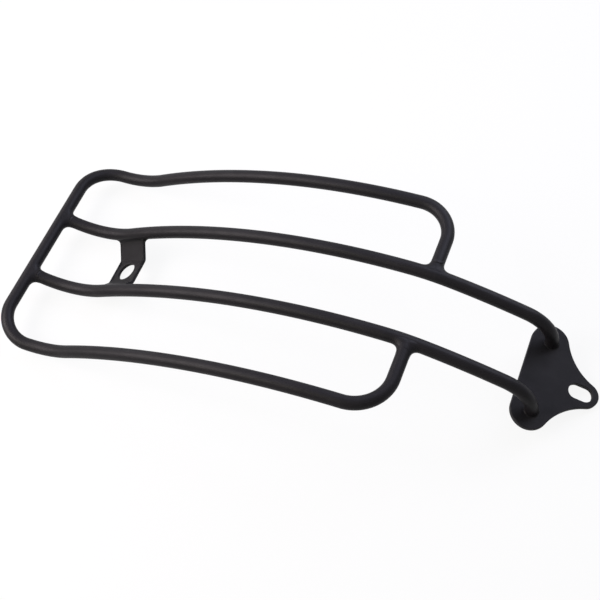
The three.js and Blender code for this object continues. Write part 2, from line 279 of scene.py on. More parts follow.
def powder_coat(name, deep, lifted, roughness, peel_depth):
    """Satin black powder, with an orange peel and a grain.

    It is lighter where its edges wear through and where a painted highlight lies on a weld's lip,
    and painted shade darkens its corners, by the pieces' own attributes.
    Each noise's scale is in waves to a metre.
    """
    coat = Coat(name)
    cloud = coat.noise(scale=55, detail=4, roughness=0.6)
    body = coat.ramp(cloud, zip(cloud_stops, (deep, lifted)))
    scuff = coat.noise(scale=420, detail=3, roughness=0.6)
    cover = coat.spread(scuff, *scuff_range, *wear_and_highlight_range)
    # The edge attribute lifts the powder: wear along the plate's and strap's edges, and a painted
    # highlight on the lips of bar ends over welds.
    wear_and_highlight_share = coat.maths("MULTIPLY", coat.attribute("edge"), cover)
    worn_and_highlit = coat.mix(wear_and_highlight_share, body, tuple(wear_and_highlight_lift * c for c in lifted))
    # Painted shade: a piece's own attribute darkens the powder in its corners, under the rails
    # and under bar ends that stand over welds.
    shade = tuple(corner_shade * c for c in deep)
    shaded = coat.mix(coat.attribute("crease"), worn_and_highlit, shade)
    coat.link(shaded, coat.shader.inputs["Base Color"])

    patch = coat.noise(scale=140, detail=3)
    patchy = [roughness + change for change in smooth_change]
    smooth = coat.spread(patch, *noise_range, *patchy)
    speck = coat.spread(coat.noise(scale=2600, detail=1), *noise_range, *speck_change)
    grained = coat.maths("ADD", smooth, speck)
    coat.link(grained, coat.shader.inputs["Roughness"])

    peel = coat.bump(coat.noise(scale=900, detail=1), peel_depth)
    grain = coat.bump(coat.noise(scale=3600, detail=2), grain_share * peel_depth, peel)
    coat.link(grain, coat.shader.inputs["Normal"])
    coat.shader.inputs["Metallic"].default_value = 0.0
    coat.shader.inputs["IOR"].default_value = 1.5
    coat.shader.inputs["Specular IOR Level"].default_value = 0.1
    return coat.material


coats = [  # material, deep powder, lifted powder, roughness, depth of the orange peel
    ("bar_powder", (0.0088, 0.0081, 0.0094), (0.0122, 0.0112, 0.0127), 0.42, 0.012 * mm),
    ("plate_powder", (0.0090, 0.0087, 0.0098), (0.0116, 0.0112, 0.0124), 0.54, 0.016 * mm),
    # The strap's powder is darker than the bars': painted shade for where it lies low between the
    # rails.
    ("strap_powder", (0.0073, 0.0069, 0.0077), (0.0099, 0.0093, 0.0104), 0.50, 0.014 * mm),
    ("weld_powder", (0.0088, 0.0081, 0.0095), (0.0121, 0.0111, 0.0128), 0.42, 0.014 * mm),
]
bar_coat, plate_coat, strap_coat, weld_coat = (powder_coat(*coat) for coat in coats)


# -------------------------------- making pieces

corner_reach = 6 * mm  # how far out of a welded corner the painted shade reaches


def length_of(vectors):
    return np.sqrt((vectors**2).sum(-1))


def unit(vectors):
    return vectors / length_of(vectors)[..., None]


def soft_step(share):
    share = np.clip(share, 0, 1)
    return share * share * (3 - 2 * share)


def finish_piece(name, mesh, material, slot, *nodes):
    """Hands a finished mesh to the rack, standing for the solids it dresses."""
    mesh.materials.clear()
    mesh.materials.append(material)
    piece = bpy.data.objects.new(name, mesh)
    bpy.context.scene.collection.objects.link(piece)
    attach(piece, "root")
    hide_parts(*nodes)


def shell_mesh(name, points, faces, **attributes):
    """A closed smooth shell from points in the bench drawing.

    attributes: for each point, how near it is to an edge (on welds, how much painted highlight it
    takes) and how much painted shade lies on it.
    """
    mesh = bpy.data.meshes.new(name)
    mesh.from_pydata([tuple(p) for p in laid(points)], [], faces)
    for kind, values in attributes.items():
        attribute = mesh.attributes.new(kind, "FLOAT", "POINT")
        attribute.data.foreach_set("value", np.asarray(values, np.float32))
    mesh.validate()
    mesh.shade_smooth()
    return mesh


# -------------------------------- bent bars

bar_sides = 72
bar_pitch = 1.6 * mm  # between the rings along a bar
foot_sink = 1 * mm  # how far the rails' feet run into the plate


def bent_bar_tree():
    """Sweeps a round section along a path and gives it its finish."""
    tree = bpy.data.node_groups.new("bent_bar", "GeometryNodeTree")
    inputs = {"Path": "Geometry", "Bar radius": "Float", "Sides": "Int", "Finish": "Material"}
    for name, kind in inputs.items():
        tree.interface.new_socket(name, in_out="INPUT", socket_type="NodeSocket" + kind)
    tree.interface.new_socket("Bar", in_out="OUTPUT", socket_type="NodeSocketGeometry")
    nodes, links = tree.nodes, tree.links
    given = nodes.new("NodeGroupInput")
    result = nodes.new("NodeGroupOutput")
    path = nodes.new("GeometryNodeMeshToCurve")
    section = nodes.new("GeometryNodeCurvePrimitiveCircle")
    sweep = nodes.new("GeometryNodeCurveToMesh")
    sweep.inputs["Fill Caps"].default_value = True
    smooth = nodes.new("GeometryNodeSetShadeSmooth")
    real = nodes.new("GeometryNodeRealizeInstances")
    finish = nodes.new("GeometryNodeSetMaterial")
    links.new(given.outputs["Path"], path.inputs["Mesh"])
    links.new(given.outputs["Bar radius"], section.inputs["Radius"])
    links.new(given.outputs["Sides"], section.inputs["Resolution"])
    links.new(path.outputs["Curve"], sweep.inputs["Curve"])
    links.new(section.outputs["Curve"], sweep.inputs["Profile Curve"])
    links.new(sweep.outputs["Mesh"], smooth.inputs["Geometry"])
    links.new(smooth.outputs["Geometry"], real.inputs["Geometry"])
    links.new(real.outputs["Geometry"], finish.inputs["Geometry"])
    links.new(given.outputs["Finish"], finish.inputs["Material"])
    links.new(finish.outputs["Geometry"], result.inputs["Bar"])
    return tree


bent_bar = bent_bar_tree()


def make_bar(name, line, node):
    path = bpy.data.meshes.new(name + "_path")
    steps = [(i, i + 1) for i in range(len(line) - 1)]
    path.from_pydata([tuple(p) for p in laid(line)], steps, [])
    carrier = bpy.data.objects.new(name + "_path", path)
    bpy.context.scene.collection.objects.link(carrier)
    sweep = carrier.modifiers.new("bent_bar", "NODES")
    sweep.node_group = bent_bar
    settings = {"Bar radius": bar_radius, "Sides": bar_sides, "Finish": bar_coat}
    for socket in bent_bar.interface.items_tree:
        if socket.in_out == "INPUT" and socket.name in settings:
            sweep[socket.identifier] = settings[socket.name]
    graph = bpy.context.evaluated_depsgraph_get()
    mesh = bpy.data.meshes.new_from_object(carrier.evaluated_get(graph), depsgraph=graph)
    mesh.name = name
    bpy.data.objects.remove(carrier)
    finish_piece(name, mesh, bar_coat, "bar_coat", node)


make_bar("outer_loop_bar", loop_line(bar_pitch), "outer_loop")
for hand, side in hands:
    rail_path = rail_line(side, 0, side_profile.length + foot_sink, bar_pitch)
    make_bar(f"inner_rail_bar_{hand}", rail_path, f"inner_rail_{hand}")


# -------------------------------- slotted plate

plate_edge_radius = 0.5 * mm
plate_hair = 0.03 * mm  # how far the smooth plate stays inside the faceted solid
plate_bands = [1.6 * mm, 1.1 * mm, 0.75 * mm]  # rings of the flats, in from the edge
ring_fade = 0.35 * mm  # over which a ring on the flats is less of an edge
arc_steps = 28
round_steps = 5  # round a sheet's edge

seat_x, seat_z, seat_heading = side_profile.at(side_profile.length)
seat = np.array([seat_x, 0, seat_z])
plate_forwards = np.array([math.cos(plate_pitch), 0, -math.sin(plate_pitch)])
plate_up = np.array([math.sin(plate_pitch), 0, math.cos(plate_pitch)])


def arc(centre, radius, start, end, steps):
    angles = np.linspace(start, end, steps + 1)
    return np.stack([centre[0] + radius * np.cos(angles), centre[1] + radius * np.sin(angles)], 1)


def plate_outline(inset):
    """The plate's outline, moved in from its edge, as points in (forwards, across)."""
    inset += plate_hair
    lobe, ear = np.array([0, rail_offset]), np.array([ear_reach, 0])
    to_lobe, to_ear = lobe_radius + waist_radius, ear_radius + waist_radius
    apart = np.linalg.norm(ear - lobe)
    along = (to_lobe**2 - to_ear**2 + apart**2) / (2 * apart)
    aside = math.sqrt(to_lobe**2 - along**2)
    course = (ear - lobe) / apart
    hollow = lobe + along * course + aside * np.array([-course[1], course[0]])
    from_lobe = math.atan2(*(hollow - lobe)[::-1])
    from_ear = math.atan2(*(hollow - ear)[::-1])
    low_lobe, low_hollow = lobe * (1, -1), hollow * (1, -1)
    waist = waist_radius + inset
    steps = arc_steps
    return np.concatenate(
        [
            arc(low_lobe, lobe_radius - inset, -math.pi, -from_lobe, steps)[:-1],
            arc(low_hollow, waist, math.pi - from_lobe, math.pi - from_ear, steps)[:-1],
            arc(ear, ear_radius - inset, -from_ear, from_ear, steps)[:-1],
            arc(hollow, waist, from_ear - math.pi, from_lobe - math.pi, steps)[:-1],
            arc(lobe, lobe_radius - inset, from_lobe, math.pi, steps),
        ]
    )


def slot_outline(inset):
    """The slot's outline, moved away from its edge."""
    half = (slot_length - slot_width) / 2
    radius = slot_width / 2 + inset
    quarter = math.pi / 2
    front = arc((slot_reach + half, 0), radius, -quarter, quarter, arc_steps)
    back = arc((slot_reach - half, 0), radius, quarter, 3 * quarter, arc_steps)
    return np.concatenate([front, back])


def edge_section(thickness, radius, bands):
    """From the top flat round a rounded edge to the bottom flat, as (inset, depth, nearness)."""
    turns = np.linspace(0, math.pi / 2, round_steps + 1)
    down = [(radius * (1 - math.sin(a)), radius * (1 - math.cos(a)), 1.0) for a in turns]
    top = [(band, 0.0, math.exp(-(band - radius) / ring_fade)) for band in bands]
    upper = top + down
    return upper + [(inset, thickness - depth, near) for inset, depth, near in reversed(upper)]


def make_plate():
    section = edge_section(plate_thickness - plate_hair, plate_edge_radius, plate_bands)
    points, edge, faces = [], [], []

    def ring(outline, depth, near):
        start = len(points)
        for forwards, across in outline:
            points.append(
                seat
                + (forwards - lobe_setback) * plate_forwards
                + across * across_rack
                - depth * plate_up
            )
            edge.append(near)
        return list(range(start, len(points)))

    rings = {}
    for shape, outline, flip in (("rim", plate_outline, False), ("slot", slot_outline, True)):
        rings[shape] = [ring(outline(inset), depth, near) for inset, depth, near in section]
        for upper, lower in zip(rings[shape], rings[shape][1:]):
            for i in range(len(upper)):
                j = (i + 1) % len(upper)
                quad = (upper[j], upper[i], lower[i], lower[j])
                faces.append(quad[::-1] if flip else quad)
    # The flats, above and below, each with the slot left out.
    rim, slot = rings["rim"], rings["slot"]
    flat = np.array(points)
    for level, turned in ((0, False), (-1, True)):
        loops = [[Vector(flat[i]) for i in rim[level]], [Vector(flat[i]) for i in slot[level]]]
        index = rim[level] + slot[level]
        for triangle in tessellate_polygon(loops):
            a, b, c = (flat[index[i]] for i in triangle)
            upwards = np.dot(np.cross(b - a, c - a), plate_up) > 0
            corners = [index[i] for i in triangle]
            faces.append(tuple(corners if upwards != turned else corners[::-1]))
    mesh = shell_mesh("slotted_plate_body", points, faces, edge=edge)
    finish_piece("slotted_plate_body", mesh, plate_coat, "plate_coat", "slotted_plate")


make_plate()


# -------------------------------- folded strap

strap_edge_radius = 0.6 * mm
strap_edge_fade = 0.4 * mm  # over which the sheet is less of an edge, in from its long edges
strap_columns = 17  # points across the strap's width
flat_rows, fold_rows, leg_rows = 13, 9, 15  # points out along its flat, a fold and a leg
hole_bands = [1.9 * mm, 1.2 * mm, 0.8 * mm]  # rings of the flats, out from the hole's edge
strap_dusk = {1: 0.95, -1: 0.3}  # how deep the painted shade in its corners is, on the left rail and the right
leg_angle = math.atan2(strap_drop, rail_offset - strap_flat / 2)
fold_trim = strap_fold * math.tan(leg_angle / 2)
flat_end = strap_flat / 2 - fold_trim
leg_length = math.hypot(strap_drop, rail_offset - strap_flat / 2) - fold_trim
leg_sink = 0.5 * bar_radius  # how near the legs run to the rails' centres


def strap_point(out, along, rise):
    """A point of the strap.

    out: from the middle of the strap, round its fold. along: from there along the rack. rise:
    above the middle of the sheet.
    """
    side = -1.0 if out < 0 else 1.0
    out = abs(out)
    turned = min(max((out - flat_end) / strap_fold, 0.0), leg_angle)
    straightened = out - flat_end - turned * strap_fold
    if out <= flat_end:
        across, up = out, 0.0
    else:
        across = flat_end + strap_fold * math.sin(turned) + straightened * math.cos(turned)
        up = strap_fold * (1 - math.cos(turned)) + straightened * math.sin(turned)
    across -= rise * math.sin(turned)
    up += rise * math.cos(turned)
    return (
        strap_origin
        + side * across * across_rack
        + (up - strap_drop) * strap_up
        + along * strap_forwards
    )


def make_strap():
    half_sheet = strap_thickness / 2
    brim = strap_width / 2 - strap_edge_radius
    columns = np.linspace(-brim, brim, strap_columns)
    flat = np.linspace(-flat_end, flat_end, flat_rows)
    fold = flat_end + strap_fold * np.linspace(0, leg_angle, fold_rows)[1:]
    leg = np.linspace(fold[-1], fold[-1] + leg_length - leg_sink, leg_rows)[1:]
    outer = np.concatenate([fold, leg])
    rows = np.concatenate([-outer[::-1], flat, outer])

    turns = np.linspace(0, math.pi / 2, round_steps + 1)[1:]
    rounding = [
        (
            brim + strap_edge_radius * math.sin(a),
            half_sheet - strap_edge_radius * (1 - math.cos(a)),
        )
        for a in turns
    ]
    rim = rounding + [(along, -rise) for along, rise in reversed(rounding)]
    points, edge, index, faces = [], [], {}, []

    def corner(key, place, near):
        if key not in index:
            index[key] = len(points)
            points.append(strap_point(*place))
            edge.append(near)
        return index[key]

    def face_corner(level, row, column):
        rise = half_sheet if level else -half_sheet
        near = math.exp(-(brim - abs(columns[column])) / strap_edge_fade)
        return corner(("face", level, row, column), (rows[row], columns[column], rise), near)

    def quad(a, b, c, d, flip):
        faces.append((d, c, b, a) if flip else (a, b, c, d))

    # The faces of the folds and legs.
    first, last = len(outer), len(outer) + flat_rows - 1
    for level in (0, 1):
        for row in range(len(rows) - 1):
            if first <= row < last:
                continue
            for column in range(strap_columns - 1):
                quad(
                    face_corner(level, row, column),
                    face_corner(level, row, column + 1),
                    face_corner(level, row + 1, column + 1),
                    face_corner(level, row + 1, column),
                    level == 1,
                )

    # The long edges, rounded over, from the upper face to the lower.
    for end in (0, -1):
        sign = 1 if end else -1
        column = strap_columns - 1 if end else 0
        for row in range(len(rows) - 1):
            strips = []
            for r in (row, row + 1):
                strip = [face_corner(1, r, column)]
                for i, (along, rise) in enumerate(rim):
                    strip.append(corner(("rim", end, r, i), (rows[r], sign * along, rise), 1.0))
                strip.append(face_corner(0, r, column))
                strips.append(strip)
            for i in range(len(strips[0]) - 1):
                quad(strips[0][i], strips[0][i + 1], strips[1][i + 1], strips[1][i], end == 0)

    # The caps, inside the rails.
    for row, flip in ((0, True), (len(rows) - 1, False)):
        across_top = [face_corner(1, row, c) for c in range(strap_columns)]
        far_rim = [index[("rim", -1, row, i)] for i in range(len(rim))]
        across_bottom = [face_corner(0, row, c) for c in reversed(range(strap_columns))]
        near_rim = [index[("rim", 0, row, i)] for i in reversed(range(len(rim)))]
        cap = across_top + far_rim + across_bottom + near_rim
        faces.append(tuple(cap[::-1] if flip else cap))

    # The flat round the hole, and the hole's rounded wall.
    border = [(first, c) for c in range(strap_columns)]
    border += [(r, strap_columns - 1) for r in range(first + 1, last + 1)]
    border += [(last, c) for c in reversed(range(strap_columns - 1))]
    border += [(r, 0) for r in reversed(range(first + 1, last))]
    section = edge_section(strap_thickness, strap_edge_radius, hole_bands)
    loops = [[face_corner(1, r, c) for r, c in border]]
    for k, (inset, depth, near) in enumerate(section):
        loop = []
        for r, c in border:
            bearing = math.atan2(rows[r], columns[c])
            reach = strap_hole_radius + inset
            place = (reach * math.sin(bearing), reach * math.cos(bearing), half_sheet - depth)
            loop.append(corner(("hole", k, r, c), place, near))
        loops.append(loop)
    loops.append([face_corner(0, r, c) for r, c in border])
    for upper, lower in zip(loops, loops[1:]):
        for i in range(len(border)):
            j = (i + 1) % len(border)
            quad(upper[i], upper[j], lower[j], lower[i], True)

    # Painted shade on the strap, darkest against the rails.
    place = np.array(points) - strap_origin
    across = place @ across_rack
    to_rail = np.hypot(rail_offset - np.abs(across), place @ strap_up) - bar_radius
    dusk = np.where(across > 0, strap_dusk[1], strap_dusk[-1])
    crease = dusk * (1 - soft_step(to_rail / corner_reach))
    mesh = shell_mesh("strap_bracket_sheet", points, faces, edge=edge, crease=crease)
    finish_piece("strap_bracket_sheet", mesh, strap_coat, "strap_coat", "strap_bracket")


make_strap()


# -------------------------------- welds
#
# Each weld is the skin of a soft join between two distances: from the piece that butts and from
# the base that it butts on. The skin is found along rays from a core inside the steel, and a
# ring of faces on that core closes it.

line_pitch = 1.2 * mm  # between the points of a centre line that distances are taken from
least_blend = 0.001 * mm  # stands for no fillet
ray_reach = 24 * mm
search_angles = np.radians(np.linspace(9, 168, 107))  # of the rays that look for the borders
search_rounds = 13  # halvings of a ray to look for the borders
skin_rounds = 22  # halvings of a ray to lay the skin
slope_step = 0.02 * mm

weld_rows = 44  # from a weld's toe to its base
row_power = 1.6  # crowds the rows towards the toe
skin_sink = 0.012 * mm  # the skin's borders lie this far under the steel
skirt_rise = 0.15 * mm  # over which a skin comes up through the steel at its border
toe_width = 0.45 * mm  # over which a weld's edge rises
base_fade = 0.75  # share of its width over which a weld's height dies away to the base
ripple_pitch = 1.15 * mm
ripple_lag = 1.1  # how many ripples the middle of a weld trails its borders by
ripple_power = 0.7  # under one, for round tops and sharp valleys

ledge_fall = 0.2 * mm  # over which a bar's end drops to the weld, where it stands over it
full_step = 0.32 * mm  # an end that stands this high has a full painted black line of shade under it
lip_highlight_gain = 1.6  # how quickly the painted highlight on such an end's lip grows, with its height
crease_width = 0.7 * mm  # of the painted black line of shade
dusk_fade = 3  # the painted shade of a hollow dies away over the last third of the weld's width


def bar_field(line):
    """Distance outside a bar with this centre line."""
    start, step = line[:-1], np.diff(line, axis=0)
    size = (step**2).sum(1)

    def field(points):
        offset = points[..., None, :] - start
        share = np.clip((offset * step).sum(-1) / size, 0, 1)
        return length_of(offset - share[..., None] * step).min(-1) - bar_radius

    return field


def plate_field(points):
    """Distance above the plate's upper face."""
    return (points - seat) @ plate_up


def leg_axes(side):
    """Which way a leg leaves its rail, and which way its upper face looks."""
    aim = -side * math.cos(leg_angle) * across_rack - math.sin(leg_angle) * strap_up
    face = math.cos(leg_angle) * strap_up - side * math.sin(leg_angle) * across_rack
    return aim, face


def leg_field(side):
    """Distance outside a strap leg, taken as an endless slab with its edges rounded."""
    aim, face = leg_axes(side)

    def field(points):
        offset = points - strap_origin - side * rail_offset * across_rack
        out_of_face = np.abs(offset @ face) - strap_thickness / 2 + strap_edge_radius
        out_of_edge = np.abs(offset @ strap_forwards) - strap_width / 2 + strap_edge_radius
        behind = -(offset @ aim)
        gaps = np.stack([out_of_face, out_of_edge, behind], -1)
        return length_of(np.maximum(gaps, 0)) + np.minimum(gaps.max(-1), 0) - strap_edge_radius

    return field


def soft_join(near, far, blend):
    """Two distances joined with a hollow fillet of about the blend's size."""
    share = np.maximum(blend - np.abs(near - far), 0) / blend
    return np.minimum(near, far) - share**2 * blend / 4


class Joint:
    """A piece butted on a base, as seen from stations round the weld.

    core and out: for each station, a place inside the steel and the way out of it. along: the
    way the butted piece leaves. butted and base: the distances outside the two. blend: the
    fillet's size, at each station or all round. bottom: how far before the core the fillet
    dies away on the base, where it does.
    """

    def __init__(self, core, out, along, butted, base, blend, bottom=ray_reach):
        self.core, self.out, self.along = core, out, along
        self.butted, self.base = butted, base
        self.stations = len(core)
        self.blend = np.broadcast_to(blend, self.stations)
        self.bottom = bottom

    def rise(self, points):
        """How far the points lie along the butted piece, from their station's core."""
        return ((points - self.core[:, None]) * self.along).sum(-1)

    def gaps(self, points):
        """Distances outside the butted piece and the base, and the fillet's size there."""
        left = soft_step((self.rise(points) + self.bottom) / bar_radius)
        size = np.maximum(self.blend[:, None] * left, least_blend)
        return self.butted(points), self.base(points), size

    def ray_points(self, angles, reach):
        ray = np.cos(angles)[..., None] * self.along
        ray = ray + np.sin(angles)[..., None] * self.out[:, None]
        return self.core[:, None] + reach[..., None] * ray

    def surface(self, angles, rounds):
        """Where rays at these angles from along leave the joined steel."""
        low = np.zeros_like(angles)
        high = np.full_like(angles, ray_reach)
        for _ in range(rounds):
            middle = (low + high) / 2
            inside = soft_join(*self.gaps(self.ray_points(angles, middle))) < 0
            low = np.where(inside, middle, low)
            high = np.where(inside, high, middle)
        return self.ray_points(angles, (low + high) / 2)

    def borders(self, toe):
        """At each station, the angles of the weld's toe and of where it leaves the base."""
        tries = np.broadcast_to(search_angles, (self.stations, len(search_angles)))
        found = self.surface(tries, search_rounds)
        to_butted, to_base, size = self.gaps(found)
        apart = (to_butted - to_base) / size
        rise = np.minimum.accumulate(self.rise(found), axis=1)  # drops rays that stay in steel
        starts, ends = np.zeros(self.stations), np.zeros(self.stations)
        for i, angles in enumerate(tries):
            starts[i] = np.interp(-toe[i], -rise[i], angles)
            off = np.argmax(apart[i] > 1) or len(angles) - 1
            share = (1 - apart[i][off - 1]) / (apart[i][off] - apart[i][off - 1])
            ends[i] = angles[off - 1] + np.clip(share, 0, 1) * (angles[off] - angles[off - 1])
        return starts, ends

    def skin(self, toe):
        """The joined steel's surface at each station, in rows from the toe to the base."""
        starts, ends = self.borders(np.broadcast_to(toe, self.stations))
        rows = np.linspace(0, 1, weld_rows)
        rows = (rows**row_power + rows) / 2
        return self.surface(starts[:, None] + rows * (ends - starts)[:, None], skin_rounds)

    def slope(self, skin):
        """The way straight out of the joined steel."""
        slope = np.zeros_like(skin)
        for axis in range(3):
            shift = np.zeros(3)
            shift[axis] = slope_step
            ahead, behind = self.gaps(skin + shift), self.gaps(skin - shift)
            slope[..., axis] = soft_join(*ahead) - soft_join(*behind)
        return unit(slope)


def weld_ripples(skin, travelled, width):
    """From 0 to 1, the waves that the torch leaves, bowed across the weld."""
    ring = skin[:, weld_rows // 3]
    ring_length = np.cumsum(length_of(np.roll(ring, -1, 0) - ring))
    count = round(ring_length[-1] / ripple_pitch)
    phase = ring_length / ring_length[-1] * count
    lag = ripple_lag * np.sin(math.pi * travelled / width)
    return np.abs(np.sin(math.pi * (phase[:, None] + lag))) ** ripple_power


def weld_faces(stations):
    """The faces of a skin, and of the ring that closes it on the core's points after it."""
    faces = []
    for i in range(stations):
        j = (i + 1) % stations
        here, there = i * weld_rows, j * weld_rows
        for k in range(weld_rows - 1):
            faces.append((here + k, there + k, there + k + 1, here + k + 1))
        a, b = stations * weld_rows + i, stations * weld_rows + j
        faces.append((a, b, there, here))
        faces.append((here + weld_rows - 1, there + weld_rows - 1, b, a))
    return faces


def signed_volume(points, faces):
    total = 0.0
    for a, b, c, d in faces:
        for p, q, r in ((a, b, c), (a, c, d)):
            total += np.dot(points[p], np.cross(points[q], points[r]))
    return total / 6


def sharpen_borders(mesh, skin_size):
    """Keeps the shading of a weld's skin apart from the faces that close it underneath."""
    ends = np.empty(2 * len(mesh.edges), np.int32)
    mesh.edges.foreach_get("vertices", ends)
    row = np.where(ends < skin_size, ends % weld_rows, -1).reshape(-1, 2)
    border = (row[:, 0] == row[:, 1]) & ((row[:, 0] == 0) | (row[:, 0] == weld_rows - 1))
    sharp = mesh.attributes.new("sharp_edge", "BOOLEAN", "EDGE")
    sharp.data.foreach_set("value", border)


def make_weld(name, node, joint, *, toe, proud, ripple, lead, step=0.0, dusk=0.0):
    """Lays the metal of a weld over a joint's skin.

    toe: how far past the core the weld reaches on the butted piece. proud: how high the weld's
    edge stands there. ripple: the height of the torch's ripples. lead: how far the skin runs up
    the butted piece before the weld's own edge. step: how high the butted piece ends over that
    edge, at each station; it also sets a painted black line of shade under that end and a
    painted highlight on its lip. dusk: how deep the painted shade in the weld's hollow is.
    """
    skin = joint.skin(toe)
    strides = np.cumsum(length_of(np.diff(skin, axis=1)), axis=1)
    travelled = np.concatenate([np.zeros((joint.stations, 1)), strides], axis=1)
    width = travelled[:, -1:]
    past_edge = travelled - lead
    step = np.broadcast_to(step, joint.stations)[:, None]

    skirt = soft_step(travelled / skirt_rise)
    up = soft_step(past_edge / toe_width)
    ledge = soft_step(travelled / lead) * (1 - soft_step(past_edge / ledge_fall))
    fade = soft_step((width - travelled) / (base_fade * width))
    wave = weld_ripples(skin, travelled, width)
    lift = 2 * skin_sink * skirt * fade + (proud + ripple * (wave - 0.5)) * up * fade - skin_sink
    lift += step * ledge
    raised = skin + lift[..., None] * joint.slope(skin)

    # Painted shade: a black line under a standing end, and dark in the weld's hollow.
    under_ledge = soft_step(past_edge / ledge_fall)
    under_ledge *= 1 - soft_step((past_edge - crease_width) / toe_width)
    hollow = dusk * (1 - soft_step(joint.base(skin) / corner_reach))
    hollow *= soft_step(dusk_fade * (width - travelled) / width)
    dark = np.maximum(step / full_step * under_ledge, hollow)
    # Painted highlight on the lip of a standing end.
    light = np.minimum(step / full_step * ledge * lip_highlight_gain, 1)

    points = np.concatenate([raised.reshape(-1, 3), joint.core])
    faces = weld_faces(joint.stations)
    unseen = np.zeros(joint.stations)
    edge, crease = np.append(light, unseen), np.append(dark, unseen)
    mesh = shell_mesh(name, points, faces, edge=edge, crease=crease)
    if signed_volume(points, faces) < 0:
        mesh.flip_normals()
    sharpen_borders(mesh, joint.stations * weld_rows)
    finish_piece(name, mesh, weld_coat, "weld_coat", node)


# -------------------------------- welds round the bars

joint_reach = 18 * mm  # how much of a bar a joint takes into account
short_lead = 0.2 * mm

tee_stations = 176
tee_core = 0.35 * bar_radius  # of the stations, out of the butted bar's centre line
tee_bottom = tee_core + 0.45 * bar_radius
butt_start = 0.8 * bar_radius  # where a butted bar starts, past the through bar's middle
crown_blend = 1.5 * mm  # the fillet's size away from the crotches
crown_power = 1.5
crotch_reach = 4.3 * mm  # how much further a weld climbs the butted bar in its crotches
crotch_power = 3
ledge_side = np.array([0.45, 0, 0.89])  # the side where a bar's end stands over its weld
ledge_start, ledge_spread = 0.5, 0.35  # how squarely it looks there, from no ledge to all


def round_stations(origin, along, start_out, inset, lift, count):
    """Stations round a butted bar: their turns, places inside it, and the ways out of it."""
    turns = np.linspace(0, 2 * math.pi, count, endpoint=False)
    side_out = np.cross(along, start_out)
    out = np.cos(turns)[:, None] * start_out + np.sin(turns)[:, None] * side_out
    core = origin + inset * out + lift * along
    return turns, core, out


def make_tee_weld(
    name, node, *, origin, through, along, butted_line, base_line, crotches, reach, lead, step,
    **bead
):
    """The weld of a bar butted on a through bar.

    crotches: the fillet's size in the corner on the side the through bar runs to, and in the
    other. reach: how far from the through bar's surface the weld's edge lies. bead: how proud
    the weld is, and its ripple.
    """
    turns, core, out = round_stations(origin, along, through, tee_core, tee_core, tee_stations)
    in_crotch = np.abs(np.cos(turns))
    crotch_blend = np.where(np.cos(turns) > 0, *crotches)
    blend = crown_blend + (crotch_blend - crown_blend) * in_crotch**crown_power
    toe = bar_radius + reach + crotch_reach * in_crotch**crotch_power + lead - tee_core
    butted, base = bar_field(butted_line), bar_field(base_line)
    joint = Joint(core, out, along, butted, base, blend, tee_bottom)
    ledge = step * soft_step((out @ ledge_side - ledge_start) / ledge_spread)
    make_weld(name, node, joint, toe=toe, lead=lead, step=ledge, **bead)


def weld_rail_to_cross_bar(hand, side):
    ends = (rail_offset - joint_reach, rail_offset + joint_reach)
    make_tee_weld(
        f"cross_bar_weld_{hand}",
        f"weld_rail_to_cross_bar_{hand}",
        origin=on_profile(0, side * rail_offset),
        through=across_rack,
        along=np.array([math.cos(lip_angle), 0, -math.sin(lip_angle)]),
        butted_line=rail_line(side, butt_start, joint_reach, line_pitch),
        base_line=np.array([on_profile(0, side * across) for across in ends]),
        crotches=(4.8 * mm, 6.2 * mm),
        reach=1.9 * mm,
        lead=1.3 * mm,
        # the rail's end stands over the weld, with painted shade under it and a painted highlight
        # on its lip
        step=0.24 * mm,
        proud=0.12 * mm,
        ripple=0.03 * mm,
    )


def weld_loop_end(hand, side):
    """The left end stands over its weld; the right one was welded flush."""
    stands = side > 0
    ends = (rail_offset + butt_start, rail_offset + joint_reach)
    _, _, heading = side_profile.at(loop_reach)
    make_tee_weld(
        f"loop_end_weld_{hand}",
        f"weld_loop_end_{hand}",
        origin=on_profile(loop_reach, side * rail_offset),
        through=np.array([math.cos(heading), 0, math.sin(heading)]),
        along=side * across_rack,
        butted_line=np.array([on_profile(loop_reach, side * across) for across in ends]),
        base_line=rail_line(side, loop_reach - joint_reach, loop_reach + joint_reach, line_pitch),
        crotches=(6.2 * mm, 6.2 * mm),
        reach=3.1 * mm,
        lead=2.0 * mm if stands else short_lead,
        # the left end stands over the weld, with painted shade under it and a painted highlight
        # on its lip
        step=0.32 * mm if stands else 0.0,
        proud=0.02 * mm if stands else 0.1 * mm,
        ripple=0.04 * mm,
    )


foot_stations = 120
foot_core = 0.5 * bar_radius  # of the stations, out of the foot's centre line
foot_depth = 0.6 * mm  # of the stations under the plate's face
foot_overrun = 3 * mm  # how far a foot runs on, under its weld
foot_blend = 1.3 * mm
foot_toe = foot_blend + 0.5 * mm


def weld_foot(hand, side):
    """Round a rail's foot, on the plate."""
    middle = seat + side * rail_offset * across_rack
    up_bar = -np.array([math.cos(seat_heading), 0, math.sin(seat_heading)])
    _, core, out = round_stations(middle, up_bar, across_rack, foot_core, 0.0, foot_stations)
    above = ((core - seat) @ plate_up)[:, None] * plate_up
    core = core - above - foot_depth * plate_up
    tip = side_profile.length
    foot = bar_field(rail_line(side, tip - joint_reach, tip + foot_overrun, line_pitch))
    make_weld(
        f"foot_weld_{hand}",
        f"weld_foot_{hand}",
        Joint(core, out, up_bar, foot, plate_field, foot_blend),
        toe=foot_toe,
        proud=0.04 * mm,
        ripple=0.03 * mm,
        lead=short_lead,
        # painted shade in the hollow round the foot, on the plate
        dusk=0.7,
    )


# -------------------------------- welds of the strap

face_stations, edge_stations = 64, 24  # along a face of a leg, and round an edge
strap_core = 0.72 * bar_radius  # of the stations, out of the rail's centre line
face_blend = 1.0 * mm
edge_blend = {1: 4.0 * mm, -1: 1.3 * mm}  # how much more at a leg's edges, left and right
edge_power = 3
strap_toe = 1.6 * mm  # past the fillet


